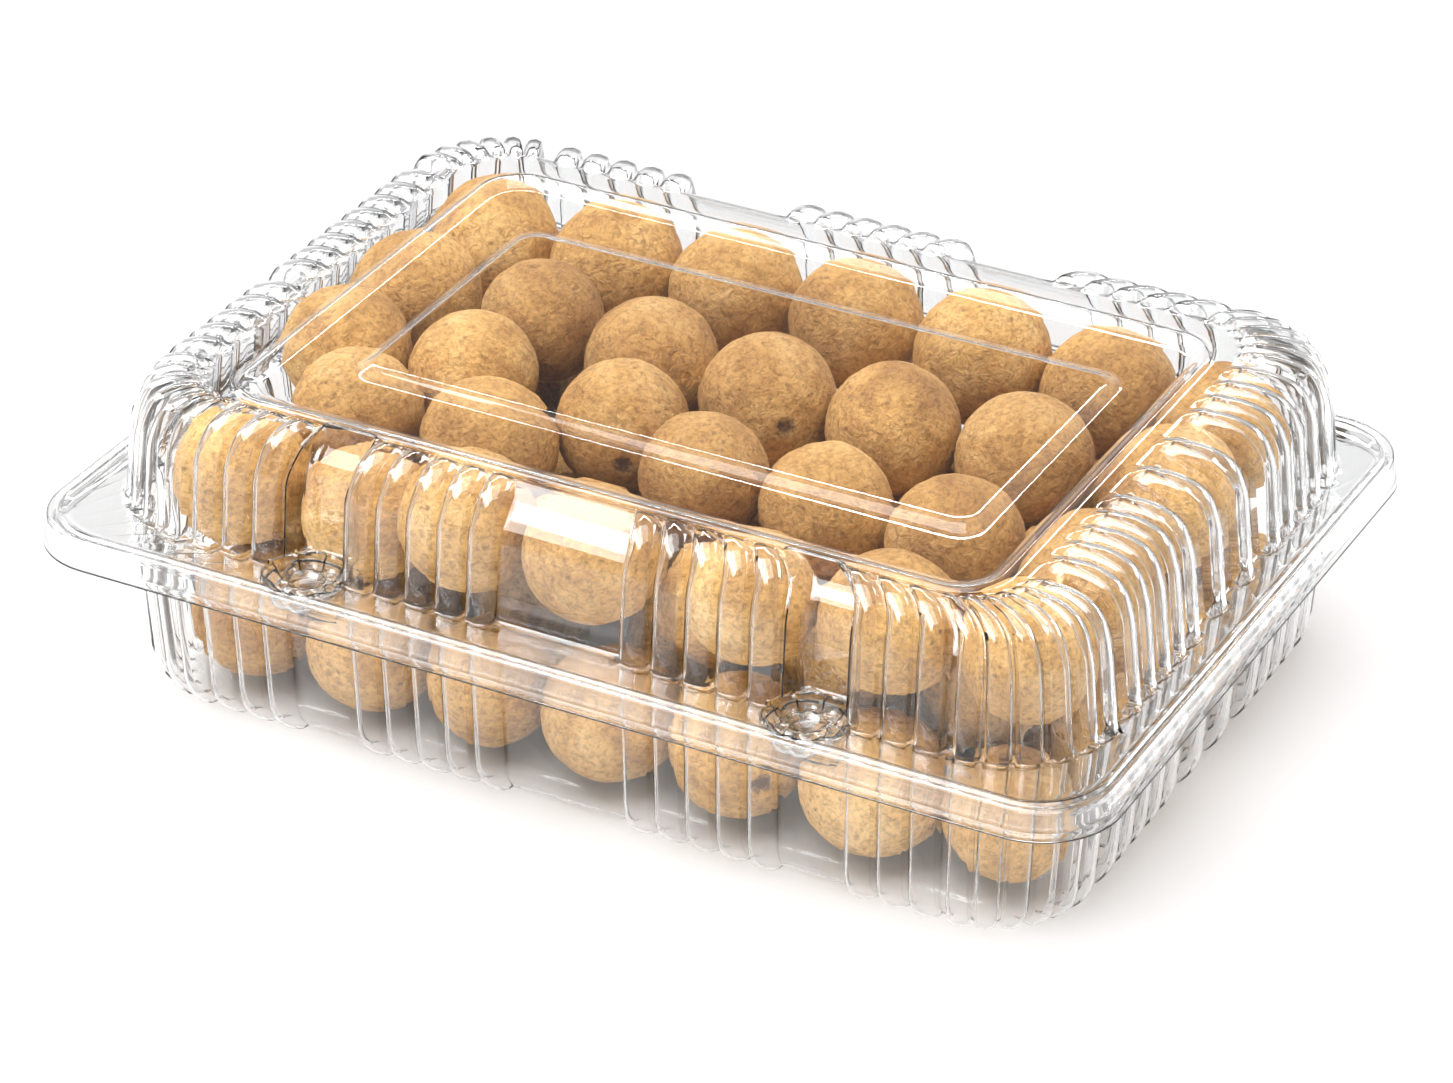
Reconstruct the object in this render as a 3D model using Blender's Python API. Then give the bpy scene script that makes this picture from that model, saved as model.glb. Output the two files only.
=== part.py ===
"""A clear hinged clamshell box packed with longans: fluted tray, fluted lid and the fruit."""

import math

import bmesh
import bpy
import numpy as np
from mathutils import Matrix, Vector

MM = 0.001

# Driving dimensions, in millimetres. Heights count from the surface that the box stands on.
RIM_LONG = 220.0
RIM_WIDE = 155.4
RIM_HIGH = 40.0
RIM_CORNER = 15.0
SHEET = 0.7
PLAY = 0.3
FLANGE_FALL = 0.6
LID_SKIRT = 4.9
LIP_OUT = 0.9
LIP_DROP = 6.2
HINGE_LONG = 190.0
HINGE_OUT = 2.5

# Flutes: their pitch, how deep the grooves between them are, and where they stand on each side.
PITCH = 6.5
GROOVE = 2.5
ALCOVE = 8.8
FRONT_FLUTES = (-75, -68.5, -62, -42, -35.5, -29, -22.5, -16, 16, 22.5, 29, 35.5, 42, 62, 68.5, 75)
RIGHT_FLUTES = (-40.5, -34, -27.5, -21, -14.5, -2.5, 10, 23, 29.5, 36, 42.5)
BACK_FLUTES = (-73, -66.5, -60, -53.5, -47, -16.25, -9.75, -3.25, 3.25, 9.75, 16.25, 47, 53.5, 60, 66.5, 73)
LEFT_FLUTES = (-42.5, -36, -29.5, -23, -16.5, -5.5, 1, 7.5, 14, 20.5, 27, 33.5, 40)
CORNER_FLUTES = 6
ALCOVES = ((-58.5, -45.5), (45.5, 58.5))
FOOT_RING = (102.4, 70.3, 23.0)
WALL_SHIFT = (0.0, 3.0)

# Snap buttons on the front flange.
BUTTON_X = 52.0
BUTTON_Y = -67.6
BUTTON_RADIUS = 6.6
BUTTON_DEPTH = 3.7

# The shallow panels pressed into the lid's top.
RECESS = (78.8, 52.6, 9.0)
RECESS_FLOOR = (76.0, 49.0, 7.0)
PLATEAU_FOOT = (65.3, 33.9, 5.0)
PLATEAU_TOP = (63.0, 30.6, 4.0)
PLATEAU_SHIFT = (2.5, 0.0)
LEDGE_SHIFT = (-2.0, 2.7)

# Longans, by layer: rows across the box, each with the places of its fruit along the box.
FRUIT_RADIUS = 13.35
FRUIT_SPREAD = 0.5
TOP_ROWS = (
    (53, (-77, -50, -25, 0, 28, 54, 78)),
    (26, (-81, -56, -27, -1, 29, 57, 81)),
    (-4, (-83, -57, -29, 1, 26, 53, 81)),
    (-25, (-66, -34)),
    (-46, (-84, -60, -31, -5, 28, 56, 82)),
)
MIDDLE_ROWS = (
    (37, (-67, -40, -13, 14, 41, 68)),
    (5, (-68, -41, -13, 13, 40, 68)),
    (-27, (-12, 14, 42, 68)),
)
BOTTOM_ROWS = (
    (53, (-82, -55, -27, 0, 27, 55, 82)),
    (20, (-83, -55, -27, 0, 27, 55, 83)),
    (-14, (-83, -55, -27, 0, 27, 55, 83)),
    (-47, (-82, -55, -27, 0, 27, 55, 82)),
)
LAYER_HEIGHTS = (15.3, 31.5, 47.5)
SETTLE_ROUNDS = 700
SEED = 12


# Plan rings. Each place on one has a key from 0 to 8: the sides are the even units, the corners the odd.
def side_keys(flutes, half_straight, turned):
    """Keys and depths of the points along one side: 0 on a flute, 1 in a groove, 2 in an alcove."""
    found = {}
    for place in flutes:
        found[round(place, 3)] = 0
        for edge in (place - PITCH / 2, place + PITCH / 2):
            found.setdefault(round(edge, 3), 1)
    places = sorted(found.items(), reverse=turned)
    sign = -1 if turned else 1
    return [((sign * place / half_straight + 1) / 2, depth) for place, depth in places]


def fluted_keys():
    """The whole ring of flute crowns and grooves, once around."""
    half = (FOOT_RING[0] - FOOT_RING[2], FOOT_RING[1] - FOOT_RING[2])
    sides = ((FRONT_FLUTES, half[0], False), (RIGHT_FLUTES, half[1], False))
    sides += ((BACK_FLUTES, half[0], True), (LEFT_FLUTES, half[1], True))
    keys = []
    for index, (flutes, straight, turned) in enumerate(sides):
        along = side_keys(flutes, straight, turned)
        if index == 0:
            along += alcove_keys(straight)
            along.sort()
        keys += [(2 * index + key, depth) for key, depth in along]
        for step in range(2 * CORNER_FLUTES + 1):
            keys.append((2 * index + 1 + step / (2 * CORNER_FLUTES), 1 if step % 2 == 0 else 0))
    return keys


def alcove_keys(straight):
    """Four corners of each set-back panel behind a snap button, kept inside the plain stretch."""
    corners = []
    for start, end in ALCOVES:
        corners += [((start / straight + 1) / 2 + 0.006, 2), ((end / straight + 1) / 2 - 0.006, 2)]
    return corners


def plain_keys(segments):
    """A rounded rectangle's ring: only the corners have points."""
    return [(2 * side + 1 + step / segments, 0) for side in range(4) for step in range(segments + 1)]


def ring_point(key, half_long, half_wide, radius):
    """Point and outward normal at a key of a rounded rectangle."""
    side = int(key // 2) % 4
    along_sign = ((1, 0), (0, 1), (-1, 0), (0, -1))[side]
    normal = (along_sign[1], -along_sign[0])
    straight = (half_long if side % 2 == 0 else half_wide) - radius
    reach = half_wide if side % 2 == 0 else half_long
    share = key - 2 * (key // 2)
    if share <= 1:
        along = (2 * share - 1) * straight
        return (along_sign[0] * along + normal[0] * reach, along_sign[1] * along + normal[1] * reach), normal
    angle = (share - 1) * math.pi / 2
    turn = math.cos(angle), math.sin(angle)
    out = (normal[0] * turn[0] + along_sign[0] * turn[1], normal[1] * turn[0] + along_sign[1] * turn[1])
    centre = [along_sign[i] * straight + normal[i] * (reach - radius) for i in (0, 1)]
    return (centre[0] + out[0] * radius, centre[1] + out[1] * radius), out


def add_ring(mesh, keys, shape, heights, insets=(0, 0, 0), shift=(0, 0)):
    """Vertices of one ring: heights and insets are given for a crown, a groove and an alcove."""
    made = []
    for key, depth in keys:
        (x, y), normal = ring_point(key, *shape)
        inset = insets[depth]
        place = (x - normal[0] * inset + shift[0], y - normal[1] * inset + shift[1], heights[depth])
        made.append((key, mesh.verts.new(Vector(place) * MM)))
    return made


def join_rings(mesh, first, second):
    """Faces between two rings, matched by their keys, whatever number of points each has."""
    i = j = 0
    count, other = len(first), len(second)
    while i < count or j < other:
        next_first = first[(i + 1) % count][0] + 8 * ((i + 1) // count) if i < count else 99
        next_second = second[(j + 1) % other][0] + 8 * ((j + 1) // other) if j < other else 99
        a, b = first[i % count][1], second[j % other][1]
        c, d = first[(i + 1) % count][1], second[(j + 1) % other][1]
        if abs(next_first - next_second) < 1e-6:
            mesh.faces.new((a, c, d, b))
            i, j = i + 1, j + 1
        elif next_first < next_second:
            mesh.faces.new((a, c, b))
            i += 1
        else:
            mesh.faces.new((a, d, b))
            j += 1


def make_object(name, mesh, material):
    data = bpy.data.meshes.new(name)
    mesh.to_mesh(data)
    mesh.free()
    made = bpy.data.objects.new(name, data)
    bpy.context.scene.collection.objects.link(made)
    if material:
        data.materials.append(material)
    else:
        made.display_type = "WIRE"
    return made


def make_material(name, colour, roughness, alpha=1.0):
    material = bpy.data.materials.new(name)
    material.use_nodes = True
    shader = material.node_tree.nodes["Principled BSDF"]
    shader.inputs["Base Color"].default_value = (*colour, 1.0)
    shader.inputs["Roughness"].default_value = roughness
    shader.inputs["Metallic"].default_value = 0.0
    shader.inputs["Alpha"].default_value = alpha
    return material


def thicken(sheet):
    """The sheet's thickness, behind the modelled skin."""
    modifier = sheet.modifiers.new("Sheet", "SOLIDIFY")
    modifier.thickness = SHEET * MM
    modifier.offset = -1


def combine(target, helper, operation):
    modifier = target.modifiers.new(operation.title(), "BOOLEAN")
    modifier.operation = operation
    modifier.object = helper
    modifier.solver = "MANIFOLD"
    helper.hide_render = True
    helper.hide_set(True)


def helper_cylinder(name, x, y, radius, low, high, sides=16):
    mesh = bmesh.new()
    bmesh.ops.create_cone(
        mesh, cap_ends=True, segments=sides, radius1=radius * MM, radius2=radius * MM, depth=(high - low) * MM
    )
    bmesh.ops.translate(mesh, verts=mesh.verts, vec=Vector((x, y, (low + high) / 2)) * MM)
    return make_object(name, mesh, None)


def helper_box(name, low, high):
    mesh = bmesh.new()
    bmesh.ops.create_cube(mesh, size=1)
    for vertex in mesh.verts:
        vertex.co = Vector([(low[i] if vertex.co[i] < 0 else high[i]) * MM for i in range(3)])
    return make_object(name, mesh, None)


def button_wells(sheet, prefix, top, radius, collar):
    """A round well, one sheet thick, in a hole at each snap button's place."""
    bottom = top - BUTTON_DEPTH
    for side, x in (("left", -BUTTON_X), ("right", BUTTON_X)):
        name = f"{prefix}_{side}"
        hole = helper_cylinder(f"{name}_hole", x, BUTTON_Y, radius - SHEET / 2, top - 2, top + 2)
        combine(sheet, hole, "DIFFERENCE")
        cup = helper_cylinder(f"{name}_cup", x, BUTTON_Y, radius, bottom, top + collar)
        hollow = helper_cylinder(f"{name}_hollow", x, BUTTON_Y, radius - SHEET, bottom + SHEET, top + 2)
        combine(cup, hollow, "DIFFERENCE")
        combine(sheet, cup, "UNION")


def skin_of(mesh, rings, way_out):
    """Joins the rings, closes the last one and faces the whole skin out: up is 1, down is -1."""
    for first, second in zip(rings, rings[1:]):
        join_rings(mesh, first, second)
    cap = mesh.faces.new([vertex for _, vertex in rings[-1]])
    bmesh.ops.recalc_face_normals(mesh, faces=mesh.faces)
    if cap.normal.z * way_out < 0:
        bmesh.ops.reverse_faces(mesh, faces=mesh.faces)


def build_lid(material):
    """Top skin of the lid from its skirt in to the plateau, thickened inwards."""
    mesh = bmesh.new()
    fine, coarse = fluted_keys(), plain_keys(5)
    top = RIM_HIGH
    rim = (RIM_LONG / 2, RIM_WIDE / 2, RIM_CORNER)
    wall = WALL_SHIFT
    rings = [
        add_ring(mesh, coarse, rim, (top - LID_SKIRT,) * 3),
        add_ring(mesh, fine, rim, (top,) * 3),
        add_ring(mesh, fine, FOOT_RING, (top - FLANGE_FALL,) * 3, (0, GROOVE, ALCOVE), wall),
        add_ring(mesh, fine, (100.6, 68.8, 21.5), (top + 18, top + 16, top + 16), (0, GROOVE, 7.6), wall),
        add_ring(mesh, fine, (98.3, 66.8, 19.5), (top + 22.8, top + 20, top + 20), (0, 3.8, 7.0), wall),
        add_ring(mesh, fine, (92.5, 63.0, 17.0), (top + 24.8, top + 22.6, top + 22.2), (0, 2.6, 4.7), wall),
        add_ring(mesh, fine, (85.0, 57.3, 12.0), (top + 23.8,) * 3, shift=LEDGE_SHIFT),
        add_ring(mesh, coarse, RECESS, (top + 23.8,) * 3),
        add_ring(mesh, coarse, RECESS_FLOOR, (top + 22.6,) * 3),
        add_ring(mesh, coarse, PLATEAU_FOOT, (top + 22.6,) * 3, shift=PLATEAU_SHIFT),
        add_ring(mesh, coarse, PLATEAU_TOP, (top + 23.6,) * 3, shift=PLATEAU_SHIFT),
    ]
    skin_of(mesh, rings, 1)
    lid = make_object("lid", mesh, material)
    thicken(lid)
    button_wells(lid, "lid_button", top, BUTTON_RADIUS, 0.3)
    low = top - LID_SKIRT + 0.1
    back = RIM_WIDE / 2
    strip = helper_box(
        "lid_hinge_strip", (-HINGE_LONG / 2, back - 0.4, low), (HINGE_LONG / 2, back + HINGE_OUT, low + SHEET)
    )
    combine(lid, strip, "UNION")
    return lid


def build_tray(material):
    """Outer skin of the tray from its lip in to the floor, thickened inwards."""
    mesh = bmesh.new()
    fine, coarse = fluted_keys(), plain_keys(5)
    under = RIM_HIGH - SHEET - PLAY - SHEET
    lip = RIM_HIGH - LIP_DROP
    inner = SHEET + PLAY + SHEET + 0.1
    flange = (RIM_LONG / 2 - inner, RIM_WIDE / 2 - inner, RIM_CORNER - inner)
    lip_ring = (RIM_LONG / 2 + LIP_OUT, RIM_WIDE / 2 + LIP_OUT, RIM_CORNER + LIP_OUT)
    wall = WALL_SHIFT
    rings = [
        add_ring(mesh, coarse, lip_ring, (lip,) * 3),
        add_ring(mesh, coarse, flange, (lip,) * 3),
        add_ring(mesh, fine, flange, (under,) * 3),
        add_ring(mesh, fine, (101.4, 70.0, 22.5), (under - FLANGE_FALL,) * 3, (0, GROOVE, ALCOVE), wall),
        add_ring(mesh, fine, (100.7, 69.6, 22.2), (28.0,) * 3, (0, GROOVE, GROOVE), wall),
        add_ring(mesh, fine, (99.4, 68.8, 21.4), (7.0,) * 3, (0, GROOVE, GROOVE), wall),
        add_ring(mesh, fine, (98.2, 67.6, 20.2), (2.4, 3.0, 3.0), (0, 2.2, 2.2), wall),
        add_ring(mesh, fine, (94.6, 64.0, 17.0), (0,) * 3, shift=wall),
        add_ring(mesh, coarse, (88.0, 57.6, 12.0), (0,) * 3, shift=wall),
        add_ring(mesh, coarse, (87.0, 56.6, 11.0), (0.9,) * 3, shift=wall),
    ]
    skin_of(mesh, rings, -1)
    tray = make_object("tray", mesh, material)
    thicken(tray)
    button_wells(tray, "tray_button", RIM_HIGH - SHEET - PLAY, BUTTON_RADIUS + PLAY + SHEET, -0.45)
    back = RIM_WIDE / 2
    low = lip + 0.1
    strip = helper_box(
        "tray_hinge_strip", (-HINGE_LONG / 2, back - 0.4, low), (HINGE_LONG / 2, back + HINGE_OUT, low + 0.5)
    )
    combine(tray, strip, "UNION")
    return tray


def fruit_layers():
    """Starting places of all fruit, their radii, and which of them other fruit hides from every side."""
    random = np.random.default_rng(SEED)
    places, buried = [], []
    layers = zip((BOTTOM_ROWS, MIDDLE_ROWS, TOP_ROWS), LAYER_HEIGHTS)
    for level, (rows, height) in enumerate(layers):
        for row, (y, along) in enumerate(rows):
            for index, x in enumerate(along):
                places.append((x, y, height))
                inner = level == 0 and 0 < row < len(rows) - 1 and 0 < index < len(along) - 1
                buried.append(inner or level == 1)
    places = np.array(places, float)
    places += random.uniform(-1, 1, places.shape) * (0.9, 0.9, 0.6)
    radii = FRUIT_RADIUS + random.uniform(-FRUIT_SPREAD, FRUIT_SPREAD, len(places))
    return places, radii, np.array(buried)


def inside_walls(places, radii):
    """Moves every fruit back inside the tray and the lid, whose walls lean in a little."""
    high = np.clip((places[:, 2] - RIM_HIGH) / 20, 0, 1)
    low = np.clip((RIM_HIGH - places[:, 2]) / 40, 0, 1)
    free = SHEET + PLAY + GROOVE + 0.4 + radii
    limit_x = FOOT_RING[0] - 1.6 - free - 2.2 * high - 1.6 * low
    limit_y = FOOT_RING[1] - 0.9 - free - 2.4 * high - 1.2 * low
    places[:, 1] -= WALL_SHIFT[1]
    near_alcove = (np.abs(np.abs(places[:, 0]) - BUTTON_X) < 8 + 0.6 * radii) & (places[:, 2] > 26)
    front = np.where(near_alcove, FOOT_RING[1] - ALCOVE - SHEET - PLAY - 0.4 - radii, limit_y)
    places[:, 0] = np.clip(places[:, 0], -limit_x, limit_x)
    places[:, 1] = np.clip(places[:, 1], -front, limit_y)
    corner = 9.0
    over = np.maximum(np.abs(places[:, :2]) - np.stack([limit_x - corner, limit_y - corner], 1), 0)
    reach = np.linalg.norm(over, axis=1)
    pull = np.where(reach > corner, 1 - corner / np.maximum(reach, 1e-9), 0)[:, None]
    places[:, :2] -= np.sign(places[:, :2]) * over * pull
    places[:, 1] += WALL_SHIFT[1]
    floor = 0.9 + SHEET + PLAY + radii
    ceiling = RIM_HIGH + 22.2 - SHEET - PLAY - 0.3 - radii
    places[:, 2] = np.clip(places[:, 2], floor, ceiling)


def settle(places, radii):
    """Pushes overlapping fruit apart while they sink, so that each rests on those below."""
    for turn in range(SETTLE_ROUNDS):
        sink = 0.03 * max(0.0, 1 - turn / (0.8 * SETTLE_ROUNDS))
        places[:, 2] -= sink
        apart = places[:, None] - places[None]
        distance = np.linalg.norm(apart, axis=2)
        np.fill_diagonal(distance, 1e9)
        wanted = radii[:, None] + radii[None] + PLAY
        overlap = np.clip(wanted - distance, 0, None)
        push = (apart / distance[..., None] * overlap[..., None] * 0.35).sum(axis=1)
        places += push
        inside_walls(places, radii)
    return places


def final_radii(places, radii):
    """Radii trimmed where fruit would still touch, so that each pair keeps its gap."""
    distance = np.linalg.norm(places[:, None] - places[None], axis=2)
    np.fill_diagonal(distance, 1e9)
    share = radii[:, None] / (radii[:, None] + radii[None])
    return np.minimum(radii, ((distance - PLAY) * share).min(axis=1))


def fruit_mesh(centre, radius, random, segments=8, rings=6):
    """One longan: nearly a ball, a little flattened and turned at random."""
    mesh = bmesh.new()
    bmesh.ops.create_uvsphere(mesh, u_segments=segments, v_segments=rings, radius=radius * MM)
    tilt = Vector(random.normal(size=3)).normalized()
    flat = 1 - random.uniform(0.02, 0.06)
    bmesh.ops.scale(mesh, vec=(1.0, 0.99, flat), verts=mesh.verts)
    turn = Vector((0, 0, 1)).rotation_difference(tilt).to_matrix()
    bmesh.ops.rotate(mesh, cent=(0, 0, 0), matrix=turn, verts=mesh.verts)
    bmesh.ops.translate(mesh, verts=mesh.verts, vec=Vector(centre) * MM)
    for face in mesh.faces:
        face.smooth = True
    return mesh


def nearest_links(places):
    """Pairs that tie all places together with the shortest total length."""
    tied, free, links = [0], set(range(1, len(places))), []
    while free:
        best = min(((np.linalg.norm(places[i] - places[j]), i, j) for i in tied for j in free))
        links.append(best[1:])
        tied.append(best[2])
        free.remove(best[2])
    return links


def helper_rod(name, start, end, radius):
    mesh = bmesh.new()
    axis = Vector(end) - Vector(start)
    bmesh.ops.create_cone(
        mesh, cap_ends=True, segments=6, radius1=radius * MM, radius2=radius * MM, depth=axis.length * 0.7 * MM
    )
    turn = Vector((0, 0, 1)).rotation_difference(axis).to_matrix()
    bmesh.ops.rotate(mesh, cent=(0, 0, 0), matrix=turn, verts=mesh.verts)
    middle = (Vector(start) + Vector(end)) / 2
    bmesh.ops.translate(mesh, verts=mesh.verts, vec=middle * MM)
    return make_object(name, mesh, None)


def build_buried(places, radii, material, random):
    """The fruit in the middle of the heap, one body joined where they touch."""
    helpers = bpy.data.collections.new("buried_helpers")
    bpy.context.scene.collection.children.link(helpers)
    balls = []
    for index, (place, radius) in enumerate(zip(places, radii)):
        mesh = fruit_mesh(place, radius, random, 8, 5)
        balls.append(make_object(f"buried_ball_{index}", mesh, None))
    rods = [
        helper_rod(f"buried_rod_{index}", places[i], places[j], 3.2)
        for index, (i, j) in enumerate(nearest_links(places))
    ]
    heap = balls[0]
    heap.name = "buried_longans"
    heap.display_type = "TEXTURED"
    heap.data.materials.append(material)
    for helper in balls[1:] + rods:
        bpy.context.scene.collection.objects.unlink(helper)
        helpers.objects.link(helper)
        helper.hide_render = True
        helper.hide_set(True)
    helpers.hide_render = True
    modifier = heap.modifiers.new("Joined", "BOOLEAN")
    modifier.operation = "UNION"
    modifier.operand_type = "COLLECTION"
    modifier.collection = helpers
    modifier.solver = "EXACT"
    return heap


def build_fruit():
    skin = make_material("longan_skin", (0.50, 0.31, 0.14), 0.75)
    places, radii, buried = fruit_layers()
    places = settle(places, radii)
    radii = final_radii(places, radii)
    random = np.random.default_rng(SEED + 1)
    made = []
    shown = np.flatnonzero(~buried)
    for number, index in enumerate(shown, 1):
        mesh = fruit_mesh(places[index], radii[index] * 0.995, random)
        made.append(make_object(f"longan_{number:02d}", mesh, skin))
    hidden = np.flatnonzero(buried)
    made.append(build_buried(places[hidden], radii[hidden] * 0.995, skin, random))
    return made


def hinge_axis():
    """The fold between the two hinge strips."""
    return Vector((0, RIM_WIDE / 2 + HINGE_OUT + PLAY, RIM_HIGH - (LID_SKIRT + LIP_DROP) / 2 + 0.45))


def main():
    for old in list(bpy.data.objects):
        bpy.data.objects.remove(old)
    plastic = make_material("clear_pet", (0.93, 0.95, 0.96), 0.06, alpha=0.25)
    build_tray(plastic)
    lid = build_lid(plastic)
    pivot = hinge_axis() * MM
    lid.data.transform(Matrix.Translation(-pivot))
    lid.location = pivot
    build_fruit()
    for made in bpy.data.objects:
        made.location.y -= (HINGE_OUT - LIP_OUT) / 2 * MM


if __name__ == "__main__":
    main()
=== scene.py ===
"""Clear hinged clamshell box packed with longans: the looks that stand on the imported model."""

import math

import bpy
import numpy as np
from mathutils import Matrix, Vector


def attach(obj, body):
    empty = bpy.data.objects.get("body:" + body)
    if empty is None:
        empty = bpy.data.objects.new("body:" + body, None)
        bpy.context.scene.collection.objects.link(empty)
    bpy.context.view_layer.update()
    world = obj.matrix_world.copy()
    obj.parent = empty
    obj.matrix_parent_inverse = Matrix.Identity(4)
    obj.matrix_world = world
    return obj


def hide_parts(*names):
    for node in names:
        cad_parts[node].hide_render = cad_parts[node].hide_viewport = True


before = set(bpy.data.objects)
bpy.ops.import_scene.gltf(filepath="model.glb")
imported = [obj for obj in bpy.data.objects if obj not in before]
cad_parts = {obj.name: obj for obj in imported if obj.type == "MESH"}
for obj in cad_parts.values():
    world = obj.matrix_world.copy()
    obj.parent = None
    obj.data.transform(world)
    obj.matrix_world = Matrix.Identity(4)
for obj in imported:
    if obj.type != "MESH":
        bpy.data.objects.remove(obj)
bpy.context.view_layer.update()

bl_info = {
    "name": "Clamshell box of longans",
    "version": (1, 0, 0),
    "blender": (4, 5, 0),
    "location": "View3D > Sidebar > Longan box",
    "description": "Builds a fluted clear clamshell box and the longans inside it",
    "category": "Add Mesh",
}

MM = 0.001
SEED = 12

# Lengths are in millimetres. Heights count from the surface that the box stands on.
RIM_HIGH = 40.0
DEPTH_SHIFT = -0.8  # of every sheet, which centres the box together with its hinge
WALL_SHIFT = 3.0  # of the walls towards the hinge, which leaves the front flange wider
FLANGE_BACK = 77.7
PITCH = 6.5
BEAD_HALF = 2.98
FRONT_FLUTES = (-75, -68.5, -62, -42, -35.5, -29, -22.5, -16, 16, 22.5, 29, 35.5, 42, 62, 68.5, 75)
RIGHT_FLUTES = (-40.5, -34, -27.5, -21, -14.5, -2.5, 10, 23, 29.5, 36, 42.5)
BACK_FLUTES = (-73, -66.5, -60, -53.5, -47, -16.25, -9.75, -3.25, 3.25, 9.75, 16.25, 47, 53.5, 60, 66.5, 73)
LEFT_FLUTES = (-42.5, -36, -29.5, -23, -16.5, -5.5, 1, 7.5, 14, 20.5, 27, 33.5, 40)
CORNER_FLUTES = 6
BEAD_STEPS = 6
BLUNT = 2.7
STRAIGHT = (79.4, 47.3)
LONGEST_STEP = 2.2
ALCOVES = ((-58.4, -45.6), (45.6, 58.4))
# An alcove's side: distance in from its edge, and share of its depth.
ALCOVE_SLOPE = ((0.15, 0.0), (0.55, 0.55), (0.95, 0.92), (1.5, 1.0))
ALCOVE_STEPS = 8
BUTTON_X = 52.0
BUTTON_Y = -67.4
LID_TOP = 39.2
TRAY_TOP = 38.6
LID_CUP = (
    (8.6, -0.02, 0), (8.35, -0.45, 0.5), (7.7, -0.6, 1.0), (7.1, 0.1, 1.3), (6.4, 1.6, 1.5), (5.8, 2.2, 1.7),
    (5.0, 2.1, 1.7), (4.2, 1.0, 1.1), (3.4, 0.7, 0.5), (2.9, 0.9, 0.2), (2.0, 1.8, 0), (0.6, 1.9, 0),
)
TRAY_CUP = (
    (7.6, -0.02, 0), (7.35, 0.35, 0), (6.9, 2.3, 0.5), (6.2, 3.1, 1.0), (5.1, 3.1, 1.0), (4.3, 2.5, 0.6),
    (3.4, 2.0, 0.2), (2.0, 2.6, 0), (0.6, 2.7, 0),
)
WELL_SIDES, WELL_STEPS = 96, 3
WELL_SHEET = 0.35
WELL_LAP = 0.15  # of a well's rim over the edge of its hole
PETALS, PETAL_POWER = 8, 0.7
HOLE_SIDES, HOLE_DEPTH, HOLE_DROP = 64, 2.4, 0.2
NICHE_HALF, NICHE_LOW, NICHE_SHELF, NICHE_EDGE = 6.6, 33.0, 4.5, 1.4
NICHE_ROW, NICHE_SPAN = 1.3, (26.0, 36.5)
STRIP_LONG, STRIP_WIDE, STRIP_THICK, STRIP_ROUNDING = 190, 2.7, 0.5, 0.18
LID_STRIP, TRAY_STRIP = 35.55, 34.35

# Longans: how much larger than the solid's faceted ball, and the sizes of a stem scar.
FRUIT_OVER = 1.01
SCAR_DEPTH, SCAR_WIDE, SCAR_STAIN = 0.55, 1.5, 3.0
SCAR_RIM, SCAR_RIM_AT, SCAR_RIM_WIDE = 0.3, 2.4, 0.7
# The way to the photograph's camera. The stem scars are turned away from it, except on the longans listed,
# each with the way that its scar faces.
FRONT_SIDE = np.array((0.40, -0.76, 0.51))
SHOWN_SCARS = {
    "longan_19": (-0.8, -0.5, 0.2),
    "longan_29": (0.65, -0.75, 0.11),
    "longan_35": (0.47, -0.88, -0.11),
    "longan_18": (0.0, -0.1, 1.0),
    "longan_16": (0.71, -0.69, -0.02),
}

# Lamps: place, length and width in metres, power in watts, and whether only reflections show it.
LAMPS = (
    ("key_box", (-0.20, -0.20, 1.48), 1.7, 1.5, 39, False),
    ("front_card", (-0.58, -0.53, 1.19), 1.8, 1.20, 54, True),
    ("front_core", (-0.57, -0.78, 1.07), 1.7, 0.36, 20, True),
    ("ridge_card", (-0.57, 0.95, 0.84), 1.3, 0.05, 6, True),
    ("back_card", (0.80, 1.20, 0.68), 1.1, 0.52, 26, True),
    ("left_card", (-1.3, 0.0, 0.75), 0.35, 0.6, 8, True),
)
LAMP_AIM = (0, 0, 0.03)
SKY_TONES = ((0.0, 1.25), (0.15, 1.15), (0.4, 0.9), (1.0, 1.0))
# A dark patch of sky, which keeps the flat top of the lid free of haze.
PATCH_WAY = (-0.40, 0.76, 0.51)
PATCH_TONES = ((0.955, 1.0), (0.99, 0.22))
# The camera's place in metres, and the ways to its right, up and back.
CAMERA_PLACE = (0.4074, -0.7680, 0.5397)
CAMERA_AXES = ((0.8832, 0.4690, 0.0), (-0.2388, 0.4497, 0.8607), (0.4037, -0.7601, 0.5092))


def deselect():
    if bpy.context.mode != "OBJECT":
        bpy.ops.object.mode_set(mode="OBJECT")
    bpy.ops.object.select_all(action="DESELECT")


def only(made):
    deselect()
    made.select_set(True)
    bpy.context.view_layer.objects.active = made


def settle_transform(made):
    """Puts the object's place into its mesh."""
    only(made)
    bpy.ops.object.transform_apply(location=True, rotation=True, scale=True)


# Rings around the box
def bead_place(step):
    """A step's place across a flute, from -1 to 1, closer together where the flute turns down."""
    s = math.sin(math.pi * (step / BEAD_STEPS - 0.5))
    return math.copysign(abs(s) ** (2 / BLUNT), s)


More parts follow.
